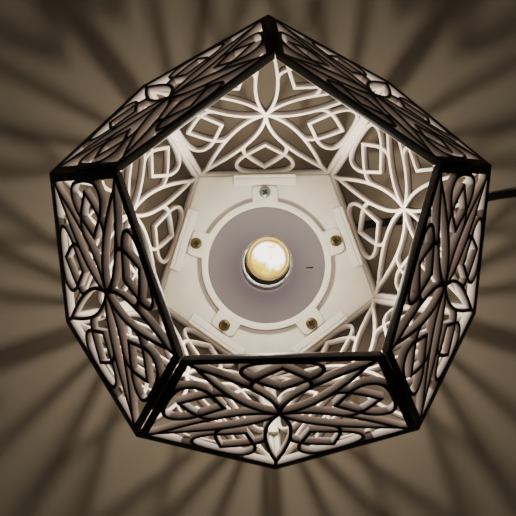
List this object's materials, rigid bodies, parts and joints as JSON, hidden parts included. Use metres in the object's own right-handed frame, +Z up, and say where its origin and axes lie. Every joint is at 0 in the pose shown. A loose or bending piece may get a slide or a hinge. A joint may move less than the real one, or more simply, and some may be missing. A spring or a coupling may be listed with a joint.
{
  "type": "dodecahedral lattice table lamp",
  "caption": "Table lamp: a dodecahedral lantern of clipped lattice panels, open at the top, on a solid base with a screw-in bulb and a switched mains cord.",
  "frame": {"origin": "on the floor, under the middle of the lantern (the cord, its switch, coil and plug are left out of that middle)", "axes": "+Z up through the bulb and the open top; +Y towards the middle of one edge of the base plate, a corner of the base plate points to -Y; the cord leaves towards +X"},
  "size_m": [0.4852, 0.316, 0.2677],
  "materials": {
    "white_plastic": "warm white printed plastic, matt",
    "zinc_steel": "zinc-plated screw",
    "brass": "yellow-plated",
    "black_plastic": "satin black",
    "silver_rim": "bright metal",
    "ceramic": "off-white ceramic insert",
    "nickel": "nickel-plated",
    "champagne_metal": "pale gold anodised",
    "lens_glass": "patterned lens, lit",
    "cord_rubber": "smooth black cord sheath"
  },
  "bodies": {
    "lamp": {"lower_panel_1": "white_plastic", "lower_panel_2": "white_plastic", "lower_panel_3": "white_plastic", "lower_panel_4": "white_plastic", "lower_panel_5": "white_plastic", "upper_panel_1": "white_plastic", "upper_panel_2": "white_plastic", "upper_panel_3": "white_plastic", "upper_panel_4": "white_plastic", "upper_panel_5": "white_plastic", "base_plate": "white_plastic", "base_wedge_1": "white_plastic", "base_wedge_2": "white_plastic", "base_wedge_3": "white_plastic", "base_wedge_4": "white_plastic", "base_wedge_5": "white_plastic", "lower_clip_1": "white_plastic", "lower_clip_2": "white_plastic", "lower_clip_3": "white_plastic", "lower_clip_4": "white_plastic", "lower_clip_5": "white_plastic", "belt_clip_1": "white_plastic", "belt_clip_2": "white_plastic", "belt_clip_3": "white_plastic", "belt_clip_4": "white_plastic", "belt_clip_5": "white_plastic", "belt_clip_6": "white_plastic", "belt_clip_7": "white_plastic", "belt_clip_8": "white_plastic", "belt_clip_9": "white_plastic", "belt_clip_10": "white_plastic", "upper_clip_1": "white_plastic", "upper_clip_2": "white_plastic", "upper_clip_3": "white_plastic", "upper_clip_4": "white_plastic", "upper_clip_5": "white_plastic", "base_cup": "white_plastic", "bottom_cover": "white_plastic", "base_screw_1": "zinc_steel", "base_screw_2": "brass", "base_screw_3": "brass", "base_screw_4": "brass", "base_screw_5": "brass", "thread_sleeve": "brass", "centre_contact": "brass", "holder_shell": "black_plastic", "switch_case": "black_plastic", "plug": "black_plastic", "holder_rim": "silver_rim", "holder_insert": "ceramic", "strain_relief": "cord_rubber", "cord_lead": "cord_rubber", "cord_tail": "cord_rubber", "cord_coil": "cord_rubber"},
    "bulb": {"bulb_cap": "nickel", "bulb_body": "black_plastic", "bulb_ring": "champagne_metal", "bulb_lens": "lens_glass"},
    "rocker": {"switch_rocker": "black_plastic"}
  },
  "joints": [
    {"name": "bulb_lift", "type": "slide", "parent": "lamp", "child": "bulb", "axis": [0, 0, 1], "range_m": [0, 0.255]},
    {"name": "switch_rock", "type": "hinge", "parent": "lamp", "child": "rocker", "pos_m": [0.26585, 0.0648, 0.01365], "axis": [-0.1045, 0.9945, 0], "range_deg": [0, 12]}
  ]
}
